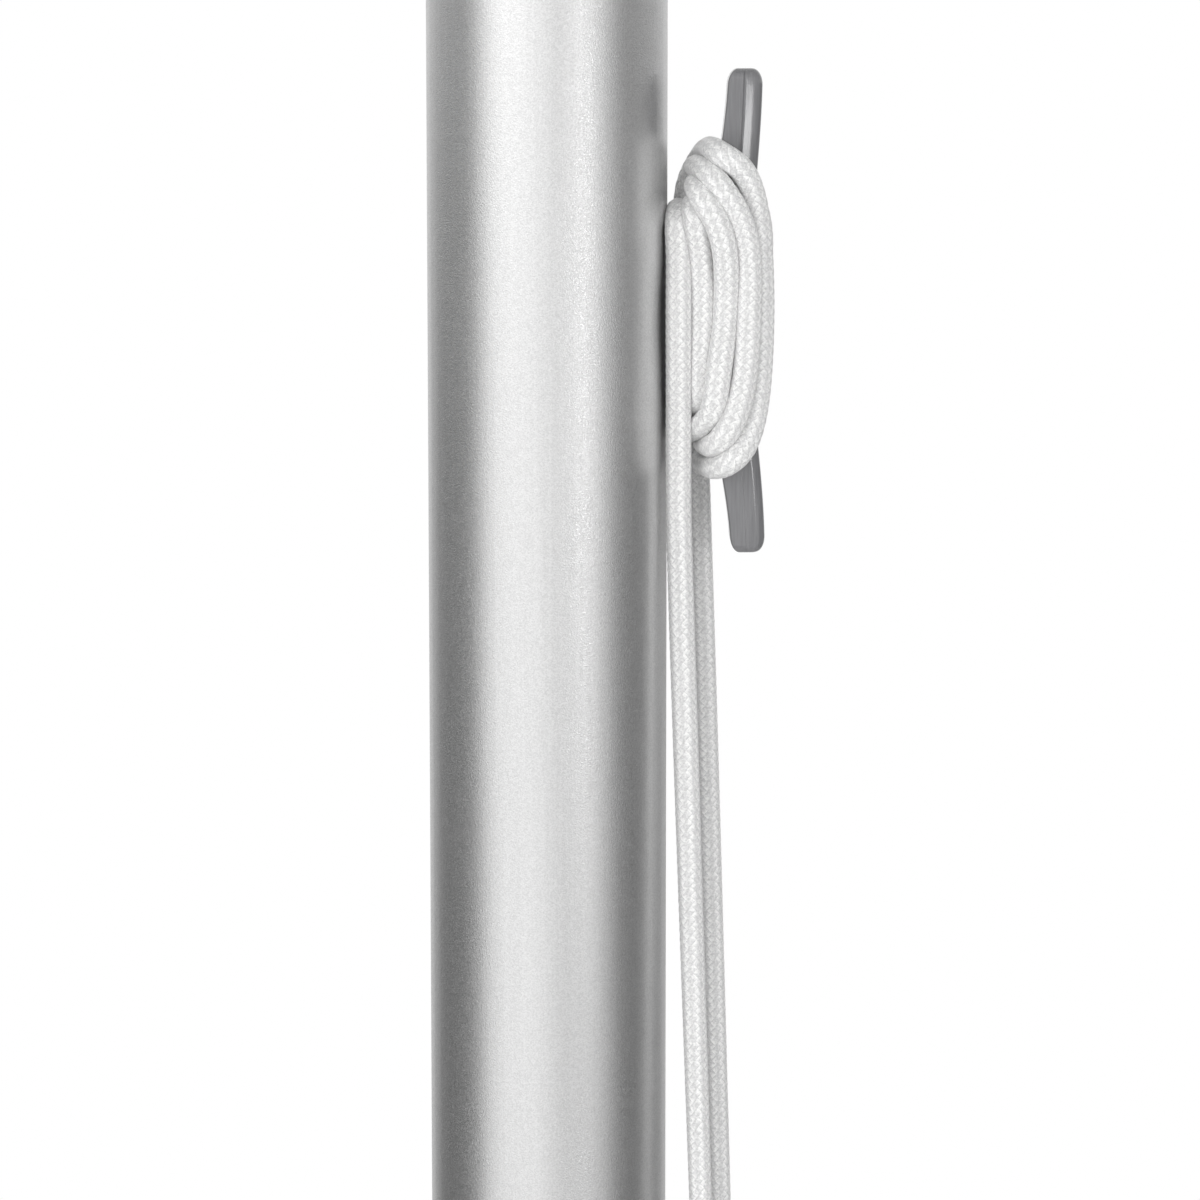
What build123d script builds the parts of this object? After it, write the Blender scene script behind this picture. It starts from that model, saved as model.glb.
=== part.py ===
import os
from math import cos, pi, radians, sin, sqrt, tan

from build123d import *

# A six metre aluminium flagpole: a bolted base with a clamp socket, a pole of two
# tubes joined by an inner sleeve, a horn cleat with its halyard made fast, and a
# truck with one sheave and a ball on top. Origin: middle of the base plate's
# underside. +Z runs up the pole, +X points at the cleat and the sheave.

# Pole
pole_diameter = 75.0
pole_wall = 2.5
pole_height = 6000.0
lower_tube_top = 3000.0
slip_clearance = 0.15

# Inner sleeve that joins the two tubes, with its screws
sleeve_length = 300.0
sleeve_wall = 4.0
splice_screw_diameter = 6.0
splice_screw_inset = 50.0
splice_head_diameter = 11.0
splice_head_height = 3.3

# Base plate with its anchor holes, socket and gussets
plate_side = 240.0
plate_thickness = 12.0
plate_corner_radius = 20.0
anchor_spacing = 180.0
anchor_hole_diameter = 18.0
socket_clearance = 0.5
socket_wall = 5.0
socket_length = 220.0
gusset_thickness = 8.0
gusset_height = 110.0
gusset_reach = 50.0
gusset_toe = 12.0
gusset_count = 4

# Clamp screws that grip the pole in its socket
clamp_count = 3
clamp_screw_diameter = 10.0
clamp_screw_drop = 42.0
clamp_screw_stem = 14.0
clamp_head_flats = 17.0
clamp_head_height = 6.4
clamp_first_angle = 60.0

# Rubber collar that closes the mouth of the socket
collar_height = 14.0
collar_overhang = 2.0
collar_lip = 3.0

# Horn cleat: a stem on the pole with two horns
cleat_height = 1300.0
cleat_width = 14.0
cleat_half_length = 76.5
stem_half_length = 28.0
throat_depth = 14.5
bar_thickness = 10.9
horn_flare = 5.4
horn_edge_radius = 4.2
horn_tip_radius = 4.0
cleat_screw_diameter = 5.0
cleat_screw_offset = 18.0
cleat_screw_sink = 1.5

# Halyard: braided rope, with an eye and a snap hook at each end
rope_diameter = 6.9
rope_sheave_gap = 0.1
fall_seam_drop = 209.1
fall_bend_drop = 89.1

# Snap hooks: oval rings of round bar, each with a straight sprung gate
hook_bar = 6.0
hook_length = 62.0
hook_width = 24.0
gate_bar = 5.0
gate_length = 26.0
gate_clearance = 0.3
link_clearance = 0.2
hook_height = 2000.0
hook_reach = 62.0
hook_side = -19.0

# Seizings that close the rope's eyes
seizing_length = 30.0
seizing_wall = 1.6
seizing_clearance = 0.2
seizing_start = 30.0
seizing_ease = 8.0
tail_length = 4.0

# Truck cap on the pole's top, with its set screws
cap_clearance = 0.2
cap_wall = 4.8
cap_skirt = 45.0
cap_top = 12.0
cap_edge_radius = 4.0
set_screw_count = 3
set_screw_diameter = 6.0
set_screw_drop = 25.0
set_screw_first_angle = 60.0

# Sheave, its pin and the fork that carries them
sheave_reach = 85.0
sheave_root_radius = 20.0
sheave_rim_radius = 26.0
sheave_width = 12.0
sheave_side_gap = 1.5
sheave_drop = 10.0
fork_width = 28.0
fork_cheek = 6.0
fork_bridge = 8.0
fork_rope_room = 4.0
fork_lower_reach = 16.0
pin_diameter = 8.0
pin_clearance = 0.2
pin_head_diameter = 13.0
pin_head_height = 4.0
pin_grip = 15.0

# Ball finial on its neck
ball_diameter = 100.0
ball_wall = 2.0
ball_seat_radius = 15.0
neck_flange_radius = 22.0
neck_flange_height = 6.0
neck_height = 34.0
neck_waist_radius = 10.0
stud_diameter = 12.0
stud_length = 18.0

# Worked out from the values above
pole_radius = pole_diameter / 2
pole_bore = pole_radius - pole_wall
rope_radius = rope_diameter / 2
socket_bore = pole_radius + socket_clearance
socket_radius = socket_bore + socket_wall
socket_top = plate_thickness + socket_length
splice_heights = [lower_tube_top - sleeve_length / 2 + splice_screw_inset]
splice_heights.append(lower_tube_top + sleeve_length / 2 - splice_screw_inset)
clamp_height = socket_top - clamp_screw_drop
cap_bore = pole_radius + cap_clearance
cap_radius = cap_bore + cap_wall
cap_face = pole_height + cap_top
set_screw_height = pole_height - set_screw_drop
sheave_height = pole_height - sheave_drop
lead_radius = sheave_root_radius + rope_radius + rope_sheave_gap


def save(piece, name):
    piece.part.label = name
    export_step(piece.part, f"parts/{name}.step")


def around(count, first):
    return [first + 360 / count * turn for turn in range(count)]


def radial_plane(angle, height, distance):
    # A plane at this distance from the pole's axis, facing outwards
    out = Vector(cos(radians(angle)), sin(radians(angle)), 0)
    return Plane(origin=out * distance + Vector(0, 0, height), x_dir=(0, 0, 1), z_dir=out)


# Base plate
with BuildPart() as base_plate:
    with BuildSketch():
        RectangleRounded(plate_side, plate_side, plate_corner_radius)
        with GridLocations(anchor_spacing, anchor_spacing, 2, 2):
            Circle(anchor_hole_diameter / 2, mode=Mode.SUBTRACT)
    extrude(amount=plate_thickness)
save(base_plate, "base_plate")

# Socket tube, with a threaded hole for each clamp screw
with BuildPart() as base_socket:
    with BuildSketch(Plane.XY.offset(plate_thickness)):
        Circle(socket_radius)
        Circle(socket_bore, mode=Mode.SUBTRACT)
    extrude(amount=socket_length)
    for angle in around(clamp_count, clamp_first_angle):
        with BuildSketch(radial_plane(angle, clamp_height, 0)):
            Circle(clamp_screw_diameter / 2)
        extrude(amount=socket_radius + 1, mode=Mode.SUBTRACT)
save(base_socket, "base_socket")

# Gussets between the socket and the plate
gusset_outer = socket_radius + gusset_reach
for number, angle in enumerate(around(gusset_count, 0), 1):
    turned = Plane.XZ.rotated((0, 0, angle))
    with BuildPart() as gusset:
        with BuildSketch(turned):
            with BuildLine():
                Polyline(
                    (0, plate_thickness),
                    (gusset_outer, plate_thickness),
                    (gusset_outer, plate_thickness + gusset_toe),
                    (socket_radius + gusset_toe, plate_thickness + gusset_height),
                    (0, plate_thickness + gusset_height),
                    close=True,
                )
            make_face()
        extrude(amount=gusset_thickness / 2, both=True)
        with BuildSketch():
            Circle(socket_radius)
        extrude(amount=plate_thickness + gusset_height + 1, mode=Mode.SUBTRACT)
    save(gusset, f"base_gusset_{number}")

# Clamp screws, with their points on the pole
for number, angle in enumerate(around(clamp_count, clamp_first_angle), 1):
    head_seat = pole_radius + clamp_screw_stem
    with BuildPart() as clamp_screw:
        with BuildSketch(radial_plane(angle, clamp_height, pole_radius)):
            Circle(clamp_screw_diameter / 2)
        extrude(amount=clamp_screw_stem)
        with BuildSketch(radial_plane(angle, clamp_height, head_seat)):
            RegularPolygon(clamp_head_flats / 2, 6, major_radius=False)
        extrude(amount=clamp_head_height)
    save(clamp_screw, f"clamp_screw_{number}")

# Rubber collar on the mouth of the socket
with BuildPart() as socket_collar:
    with BuildSketch(Plane.XZ):
        with BuildLine():
            collar_radius = socket_radius + collar_overhang
            Polyline(
                (pole_radius, socket_top),
                (collar_radius, socket_top),
                (collar_radius, socket_top + collar_lip),
                (pole_radius + collar_lip, socket_top + collar_height),
                (pole_radius, socket_top + collar_height),
                close=True,
            )
        make_face()
    revolve(axis=Axis.Z)
save(socket_collar, "socket_collar")

# Lower tube, drilled for the cleat's screws and the sleeve's lower screws
with BuildPart() as pole_lower:
    with BuildSketch(Plane.XY.offset(plate_thickness)):
        Circle(pole_radius)
        Circle(pole_bore, mode=Mode.SUBTRACT)
    extrude(amount=lower_tube_top - plate_thickness)
    for offset_up in (-cleat_screw_offset, cleat_screw_offset):
        with BuildSketch(radial_plane(0, cleat_height + offset_up, 0)):
            Circle(cleat_screw_diameter / 2)
        extrude(amount=pole_radius + 1, mode=Mode.SUBTRACT)
    for angle in (90, 270):
        with BuildSketch(radial_plane(angle, splice_heights[0], 0)):
            Circle(splice_screw_diameter / 2)
        extrude(amount=pole_radius + 1, mode=Mode.SUBTRACT)
save(pole_lower, "pole_lower")

# Upper tube
with BuildPart() as pole_upper:
    with BuildSketch(Plane.XY.offset(lower_tube_top)):
        Circle(pole_radius)
        Circle(pole_bore, mode=Mode.SUBTRACT)
    extrude(amount=pole_height - lower_tube_top)
    for angle in (90, 270):
        with BuildSketch(radial_plane(angle, splice_heights[1], 0)):
            Circle(splice_screw_diameter / 2)
        extrude(amount=pole_radius + 1, mode=Mode.SUBTRACT)
save(pole_upper, "pole_upper")

# Sleeve inside both tubes
sleeve_radius = pole_bore - slip_clearance
with BuildPart() as splice_sleeve:
    with BuildSketch(Plane.XY.offset(lower_tube_top - sleeve_length / 2)):
        Circle(sleeve_radius)
        Circle(sleeve_radius - sleeve_wall, mode=Mode.SUBTRACT)
    extrude(amount=sleeve_length)
    for height in splice_heights:
        for angle in (90, 270):
            with BuildSketch(radial_plane(angle, height, 0)):
                Circle(splice_screw_diameter / 2)
            extrude(amount=pole_radius, mode=Mode.SUBTRACT)
save(splice_sleeve, "splice_sleeve")

# Screws through both tubes and the sleeve
splice_places = [(height, angle) for height in splice_heights for angle in (90, 270)]
for number, (height, angle) in enumerate(splice_places, 1):
    with BuildPart() as splice_screw:
        with BuildSketch(radial_plane(angle, height, sleeve_radius - sleeve_wall)):
            Circle(splice_screw_diameter / 2)
        extrude(amount=pole_radius - sleeve_radius + sleeve_wall)
        with BuildSketch(radial_plane(angle, height, pole_radius)):
            Circle(splice_head_diameter / 2)
        extrude(amount=splice_head_height)
    save(splice_screw, f"splice_screw_{number}")

# Cleat: side outline of stem and horns, rounded, with a saddle that fits the pole
horn_inner = pole_radius + throat_depth
horn_outer = horn_inner + bar_thickness
cleat_middle = Vector(0, 0, cleat_height)
cleat_plane = Plane(origin=cleat_middle, x_dir=(1, 0, 0), z_dir=(0, -1, 0))
with BuildPart() as cleat_body:
    with BuildSketch(cleat_plane):
        with BuildLine():
            crown = Spline(
                (horn_outer, 0),
                (horn_outer + horn_flare * 0.54, cleat_half_length * 0.54),
                (horn_outer + horn_flare, cleat_half_length),
                tangents=((0, 1), (0.02, 1)),
            )
            Polyline(
                crown @ 1,
                (horn_inner + horn_flare, cleat_half_length),
                (horn_inner, stem_half_length),
                (0, stem_half_length),
                (0, 0),
                crown @ 0,
            )
        make_face()
        mirror(about=Plane.XZ)
    extrude(amount=cleat_width / 2, both=True)
    horn_tips = cleat_body.edges().filter_by(Axis.Y).group_by(Axis.Z)
    fillet(horn_tips[0] + horn_tips[-1], horn_tip_radius)
    horn_faces = cleat_body.faces().filter_by(Axis.Y)
    fillet(horn_faces.edges().filter_by_position(Axis.X, pole_radius / 2, pole_diameter), horn_edge_radius)
    with BuildSketch(Plane.XY.offset(cleat_height - cleat_half_length)):
        Circle(pole_radius)
    extrude(amount=2 * cleat_half_length, mode=Mode.SUBTRACT)
    for offset_up in (-cleat_screw_offset, cleat_screw_offset):
        with BuildSketch(radial_plane(0, cleat_height + offset_up, 0)):
            Circle(cleat_screw_diameter / 2)
        extrude(amount=2 * pole_diameter, mode=Mode.SUBTRACT)
save(cleat_body, "cleat_body")

# Cleat screws: countersunk, flush with the crown, and threaded into the pole's wall
for place, offset_up in (("lower", -cleat_screw_offset), ("upper", cleat_screw_offset)):
    seat = horn_outer - cleat_screw_sink
    with BuildPart() as cleat_screw:
        with BuildSketch(radial_plane(0, cleat_height + offset_up, pole_bore - cleat_screw_sink)):
            Circle(cleat_screw_diameter / 2)
        extrude(amount=seat - pole_bore + cleat_screw_sink)
    save(cleat_screw, f"cleat_screw_{place}")


def rope(points):
    # A round rope along straight runs and arcs, each arc as large as its runs allow
    corners = [Vector(*point) for point in points]
    radii = []
    for before, corner, after in zip(corners, corners[1:], corners[2:]):
        turn = radians((corner - before).get_angle(after - corner))
        run = min((corner - before).length, (after - corner).length)
        radii.append(0.45 * run / tan(turn / 2))
    with BuildPart() as piece:
        with BuildLine() as route:
            FilletPolyline(*corners, radius=radii)
        with BuildSketch(Plane(origin=route.wire() @ 0, z_dir=route.wire() % 0)):
            Circle(rope_radius)
        sweep(path=route.wire())
    length = route.wire().length
    print("rope", round(length), "mm, smallest arc", round(min(radii), 1))
    print("  volume against section times length", round(piece.part.volume / length / pi / rope_radius**2, 4))
    return piece


def at_cleat(points):
    return [(x, y, cleat_height + height) for x, y, height in points]


# Halyard on the cleat, by its points: distance from the pole's axis, distance to the
# near side, height from the cleat's middle. The rope comes down on the near side,
# goes under the lower horn, up the far side and back under the upper horn, and each
# lay crosses a little further out than the one before. The fifth lay doesn't come
# back: from the lower horn it runs straight up the far side as the back fall.
first_lay = [(40.9, 11.3, 50), (41.0, 11.4, 24), (40.8, 13.6, 0), (41.0, 10.4, -18.1)]
first_lay += [(40.3, 11.7, -30.1), (41.7, -6.4, -33.8), (38.6, -13.5, -20.4)]
first_lay += [(41.0, -11.4, 0), (40.8, -13.5, 22.8), (40.1, -5.4, 33.4)]
second_lay = [(48.5, 10.5, 30.3), (47.9, 10.8, 18.4), (48.2, 10.6, 0), (48.2, 10.7, -18.0)]
second_lay += [(47.2, 13.9, -31.4), (48.7, -5.2, -32.2), (52.2, -14.7, -26.4)]
second_lay += [(49.4, -10.1, 0), (52.4, -12.0, 28.1), (37.6, -8.4, 42.3)]
third_lay = [(51.4, 15.5, 35.8), (53.2, 16.6, 19.5), (55.9, 10.5, 0), (55.3, 18.2, -25.0)]
third_lay += [(47.1, 16.5, -38.3), (48.9, -7.8, -39.4), (60.5, -16.3, -30.4)]
third_lay += [(56.2, -9.2, 0), (60.3, -15.7, 26.8), (48.0, -12.5, 42.6)]
fourth_lay = [(52.1, 17.4, 44.4), (60.7, 16.6, 30.1), (63.0, 11.1, 0), (62.3, 15.2, -27.0)]
fourth_lay += [(51.5, 18.2, -45.2), (44.5, -10.1, -46.6), (67.8, -17.4, -37.8)]
fourth_lay += [(66.4, -9.4, 0), (64.5, -10.8, 42.3), (46.7, -13.1, 49.8)]
fifth_lay = [(54.3, 17.7, 51.2), (64.7, 13.2, 39.9), (67.5, 4.3, 0), (64.6, 12.0, -42.8)]
fifth_lay += [(51.9, 17.2, -52.3), (49.9, -22.5, -51.9), (44.0, -12.2, -37.9)]

# The taut stretch of each fall above the cleat is one straight run, from its first
# point to the seam where the winding ends and the fall begins. The back fall's seam and
# its one bend are placed below the foot of the lower eye, which hangs from the hooks.
ring_pull = (hook_bar + link_clearance) / 2
leg_head = seizing_start + seizing_length + seizing_ease
eye_foot = hook_height - (hook_length - hook_bar - ring_pull) - leg_head
front_straight = at_cleat([(41.3, 11.3, 79), (51.6, 12.3, 370)])
back_straight = at_cleat([(45.4, -18.0, -20)]) + [(58.1, -18.0, eye_foot - fall_seam_drop)]
winding = [front_straight[1], front_straight[0]]
for lay in (first_lay, second_lay, third_lay, fourth_lay, fifth_lay):
    winding += at_cleat(lay)
winding += back_straight
halyard_winding = rope(winding)
save(halyard_winding, "halyard_winding")

# Front fall: from the cleat up to the sheave, with a little belly in it
front_fall = [front_straight[1]] + at_cleat([(56.6, 12.8, 512), (62.0, 14.5, 900), (76.0, 19.0, 2200)])
front_fall += [(84.0, 23.2, sheave_height - 1400), (sheave_reach, lead_radius, sheave_height - 400)]
front_fall += [(sheave_reach, lead_radius, sheave_height)]
halyard_front_fall = rope(front_fall)
save(halyard_front_fall, "halyard_front_fall")

# The turn over the sheave
with BuildPart() as halyard_sheave_turn:
    with BuildLine() as over_sheave:
        ThreePointArc(
            (sheave_reach, lead_radius, sheave_height),
            (sheave_reach, 0, sheave_height + lead_radius),
            (sheave_reach, -lead_radius, sheave_height),
        )
    with BuildSketch(Plane(origin=over_sheave.wire() @ 0, z_dir=over_sheave.wire() % 0)):
        Circle(rope_radius)
    sweep(path=over_sheave.wire())
save(halyard_sheave_turn, "halyard_sheave_turn")

# Snap hooks, linked to each other at right angles on the back fall. The rope's two
# ends go round their outer ends.
ring_round = (hook_width - hook_bar) / 2
ring_straight = hook_length - hook_bar - 2 * ring_round
ring_middle = ring_straight / 2 + ring_round - ring_pull
for place, up, across in (("upper", 1, Vector(1, 0, 0)), ("lower", -1, Vector(0, 1, 0))):
    middle = Vector(hook_reach, hook_side, hook_height + up * ring_middle)
    ring_plane = Plane(origin=middle, x_dir=across, z_dir=across.cross(Vector(0, 0, 1)))
    half_gate = gate_length / 2
    half_side = ring_straight / 2
    with BuildPart() as snap_hook:
        with BuildLine(ring_plane) as ring:
            side = Line((ring_round, half_gate), (ring_round, half_side))
            crown = ThreePointArc(side @ 1, (0, half_side + ring_round), (-ring_round, half_side))
            back = Line(crown @ 1, (-ring_round, -half_side))
            foot = ThreePointArc(back @ 1, (0, -half_side - ring_round), (ring_round, -half_side))
            Line(foot @ 1, (ring_round, -half_gate))
        with BuildSketch(Plane(origin=ring.wire() @ 0, z_dir=ring.wire() % 0)):
            Circle(hook_bar / 2)
        sweep(path=ring.wire())
    save(snap_hook, f"snap_hook_{place}")
    gate_foot = middle + across * ring_round - Vector(0, 0, half_gate - gate_clearance)
    with BuildPart() as snap_gate:
        with BuildSketch(Plane(origin=gate_foot, z_dir=(0, 0, 1))):
            Circle(gate_bar / 2)
        extrude(amount=gate_length - 2 * gate_clearance)
    save(snap_gate, f"snap_gate_{place}")

# Rope eyes round the outer ends of the hooks. Both legs of an eye lie side by side
# across the hook's outer end, inside a seizing.
leg_offset = rope_radius + seizing_clearance / 2
eye_half = (hook_bar + rope_diameter) / 2 + link_clearance
leg_foot = seizing_start - seizing_ease


def eye(place, up):
    # Corner points from the standing leg, round the hook's end, to the rope's end
    apex = hook_height + up * (hook_length - hook_bar - ring_pull)
    across = Vector(0, 1, 0) if place == "upper" else Vector(1, 0, 0)
    middle = Vector(hook_reach, hook_side, apex)
    corners = [(leg_offset, leg_head), (leg_offset, leg_foot), (eye_half, eye_half), (eye_half, -eye_half)]
    corners += [(-eye_half, -eye_half), (-eye_half, eye_half), (-leg_offset, leg_foot)]
    corners += [(-leg_offset, seizing_start + seizing_length + tail_length)]
    return [tuple(middle + across * out + Vector(0, 0, up * rise)) for out, rise in corners]


for place, up in (("upper", 1), ("lower", -1)):
    legs = eye(place, up)
    turned = 90 if place == "upper" else 0
    low_end = min(legs[0][2] - up * seizing_ease, legs[1][2] + up * seizing_ease)
    with BuildPart() as seizing:
        with BuildSketch(Plane(origin=(hook_reach, hook_side, low_end), z_dir=(0, 0, 1))):
            bore = rope_diameter + seizing_clearance
            SlotCenterToCenter(2 * leg_offset, bore + 2 * seizing_wall, rotation=turned)
            SlotCenterToCenter(2 * leg_offset, bore, rotation=turned, mode=Mode.SUBTRACT)
        extrude(amount=seizing_length)
    save(seizing, f"seizing_{place}")

# Back fall: its lower half from the cleat up to the lower eye, its upper half from
# the sheave down to the upper eye
lower_eye = eye("lower", -1)
fall_bend = (62.0, -18.0, eye_foot - fall_bend_drop)
halyard_back_fall_lower = rope([back_straight[1], fall_bend] + lower_eye)
save(halyard_back_fall_lower, "halyard_back_fall_lower")
upper_eye = eye("upper", 1)
upper_half = [(sheave_reach, -lead_radius, sheave_height), (sheave_reach, -lead_radius, sheave_height - 400)]
upper_half += [(83.5, -23.4, sheave_height - 1500), (75.0, -20.5, sheave_height - 2900)]
upper_half += [(66.0, -16.5, hook_height + 300)]
halyard_back_fall_upper = rope(upper_half + upper_eye)
save(halyard_back_fall_upper, "halyard_back_fall_upper")

# Truck cap over the pole's top
with BuildPart() as truck_cap:
    with BuildSketch(Plane.XZ):
        with BuildLine():
            Polyline(
                (0, pole_height),
                (cap_bore, pole_height),
                (cap_bore, pole_height - cap_skirt),
                (cap_radius, pole_height - cap_skirt),
                (cap_radius, cap_face),
                (0, cap_face),
                close=True,
            )
        make_face()
    revolve(axis=Axis.Z)
    fillet(truck_cap.edges().group_by(Axis.Z)[-1], cap_edge_radius)
    for angle in around(set_screw_count, set_screw_first_angle):
        with BuildSketch(radial_plane(angle, set_screw_height, 0)):
            Circle(set_screw_diameter / 2)
        extrude(amount=cap_radius + 1, mode=Mode.SUBTRACT)
save(truck_cap, "truck_cap")

for number, angle in enumerate(around(set_screw_count, set_screw_first_angle), 1):
    with BuildPart() as set_screw:
        with BuildSketch(radial_plane(angle, set_screw_height, pole_radius)):
            Circle(set_screw_diameter / 2)
        extrude(amount=cap_radius - pole_radius)
    save(set_screw, f"truck_set_screw_{number}")

# Fork on the cap: a solid arm, a bridge over the sheave and an outer cheek
inner_face = sheave_reach - sheave_width / 2 - sheave_side_gap
outer_face = sheave_reach + sheave_width / 2 + sheave_side_gap
fork_low = sheave_height - fork_lower_reach
bridge_low = sheave_height + lead_radius + rope_radius + fork_rope_room
with BuildPart() as truck_fork:
    with BuildSketch(Plane.XZ):
        with BuildLine():
            Polyline(
                (0, fork_low),
                (inner_face, fork_low),
                (inner_face, bridge_low),
                (outer_face, bridge_low),
                (outer_face, fork_low),
                (outer_face + fork_cheek, fork_low),
                (outer_face + fork_cheek, bridge_low + fork_bridge),
                (0, bridge_low + fork_bridge),
                close=True,
            )
        make_face()
    extrude(amount=fork_width / 2, both=True)
    with BuildSketch(Plane.XY.offset(fork_low)):
        Circle(cap_radius)
    extrude(amount=bridge_low + fork_bridge - fork_low, mode=Mode.SUBTRACT)
    with BuildSketch(Plane(origin=(inner_face - pin_grip, 0, sheave_height), z_dir=(1, 0, 0))):
        Circle(pin_diameter / 2)
    extrude(amount=pole_diameter, mode=Mode.SUBTRACT)
save(truck_fork, "truck_fork")

# Sheave with a round groove
with BuildPart() as sheave:
    with BuildSketch(Plane(origin=(sheave_reach, 0, sheave_height), x_dir=(1, 0, 0), z_dir=(0, -1, 0))):
        bore = (pin_diameter + pin_clearance) / 2
        groove = rope_radius + rope_sheave_gap
        with Locations((0, (bore + sheave_rim_radius) / 2)):
            Rectangle(sheave_width, sheave_rim_radius - bore)
        with Locations((0, lead_radius)):
            Circle(groove, mode=Mode.SUBTRACT)
        with Locations((0, lead_radius + sheave_rim_radius / 2)):
            Rectangle(2 * groove, sheave_rim_radius, mode=Mode.SUBTRACT)
    revolve(axis=Axis((sheave_reach, 0, sheave_height), (1, 0, 0)))
save(sheave, "sheave")

# Pin through the outer cheek and the sheave, into the arm
with BuildPart() as sheave_pin:
    with BuildSketch(Plane(origin=(inner_face - pin_grip, 0, sheave_height), z_dir=(1, 0, 0))):
        Circle(pin_diameter / 2)
    extrude(amount=outer_face + fork_cheek - inner_face + pin_grip)
    with BuildSketch(Plane(origin=(outer_face + fork_cheek, 0, sheave_height), z_dir=(1, 0, 0))):
        Circle(pin_head_diameter / 2)
    extrude(amount=pin_head_height)
save(sheave_pin, "sheave_pin")

# Neck of the finial: a flange on the cap, a flared shaft and a stud into the ball
neck_top = cap_face + neck_height
with BuildPart() as finial_neck:
    with BuildSketch(Plane.XZ):
        with BuildLine():
            flare = Spline(
                (neck_waist_radius, cap_face + neck_flange_height),
                (ball_seat_radius, neck_top),
                tangents=((0, 1), (1, 1)),
            )
            Polyline(
                flare @ 1,
                (stud_diameter / 2, neck_top),
                (stud_diameter / 2, neck_top + stud_length),
                (0, neck_top + stud_length),
                (0, cap_face),
                (neck_flange_radius, cap_face),
                (neck_flange_radius, cap_face + neck_flange_height),
                flare @ 0,
            )
        make_face()
    revolve(axis=Axis.Z)
save(finial_neck, "finial_neck")

# Hollow ball, flat where it sits on the neck, with a boss round the stud
ball_radius = ball_diameter / 2
ball_middle = neck_top + sqrt(ball_radius**2 - ball_seat_radius**2)
with BuildPart() as finial_ball:
    with Locations((0, 0, ball_middle)):
        Sphere(ball_radius)
        Sphere(ball_radius - ball_wall, mode=Mode.SUBTRACT)
    with BuildSketch(Plane.XY.offset(neck_top)):
        Circle(ball_seat_radius - 1)
    extrude(amount=stud_length)
    with BuildSketch(Plane.XY.offset(neck_top)):
        Circle((stud_diameter + slip_clearance) / 2)
    extrude(amount=stud_length, mode=Mode.SUBTRACT)
    with BuildSketch(Plane.XY.offset(neck_top)):
        Circle(ball_radius)
    extrude(amount=-ball_radius, mode=Mode.SUBTRACT)
save(finial_ball, "finial_ball")
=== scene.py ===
import math

import bmesh
import bpy
import numpy as np
from mathutils import Matrix, Vector


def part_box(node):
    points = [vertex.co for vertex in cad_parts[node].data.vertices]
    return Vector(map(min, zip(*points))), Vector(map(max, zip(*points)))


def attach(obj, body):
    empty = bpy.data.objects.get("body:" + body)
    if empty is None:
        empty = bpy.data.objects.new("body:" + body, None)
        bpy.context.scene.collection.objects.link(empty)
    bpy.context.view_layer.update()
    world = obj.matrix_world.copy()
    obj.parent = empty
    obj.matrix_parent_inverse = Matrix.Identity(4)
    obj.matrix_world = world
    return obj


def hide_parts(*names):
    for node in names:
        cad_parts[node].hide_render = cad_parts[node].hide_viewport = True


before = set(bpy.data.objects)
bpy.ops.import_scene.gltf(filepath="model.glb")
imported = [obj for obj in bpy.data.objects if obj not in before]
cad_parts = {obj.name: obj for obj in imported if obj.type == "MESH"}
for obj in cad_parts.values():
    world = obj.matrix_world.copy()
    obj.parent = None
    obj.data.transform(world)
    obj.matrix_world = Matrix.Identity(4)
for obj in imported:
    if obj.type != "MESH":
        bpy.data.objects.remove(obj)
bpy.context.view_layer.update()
mm = 0.001  # a pattern's scale is given as its marks per millimetre / mm


def linearColour(hexCode):
    # sRGB hex to linear, channel by channel
    channels = [int(hexCode[start:start + 2], 16) / 255 for start in (1, 3, 5)]
    linear = [c / 12.92 if c <= 0.04045 else ((c + 0.055) / 1.055) ** 2.4 for c in channels]
    return (*linear, 1.0)


def addNode(tree, kind, inputs=None, output=0, stops=(), **settings):
    # One node with its settings, and a ramp's stops as (position, colour). An input that is
    # a socket is linked. Gives back an output.
    made = tree.nodes.new("ShaderNode" + kind)
    while stops and len(made.color_ramp.elements) < len(stops):
        made.color_ramp.elements.new(0.5)
    for number, (position, colour) in enumerate(stops):
        made.color_ramp.elements[number].position = position
        made.color_ramp.elements[number].color = linearColour(colour)
    for name, value in settings.items():
        setattr(made, name, value)
    for name, value in (inputs or {}).items():
        if isinstance(value, bpy.types.NodeSocket):
            tree.links.new(value, made.inputs[name])
        else:
            made.inputs[name].default_value = value
    return made.outputs[output] if len(made.outputs) else made


def newMaterial(name, values):
    # One Principled shader; what is the same all over is set on its own sockets
    material = bpy.data.materials.new(name)
    material.use_nodes = True
    tree = material.node_tree
    shader = tree.nodes["Principled BSDF"]
    for socket, value in values.items():
        shader.inputs[socket].default_value = value
    return material, tree, shader


def dress(material, *nodeNames):
    # CAD nodes whose shape is right keep it, and get this material
    for nodeName in nodeNames:
        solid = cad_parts[nodeName]
        solid.data.materials.clear()
        solid.data.materials.append(material)


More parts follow.
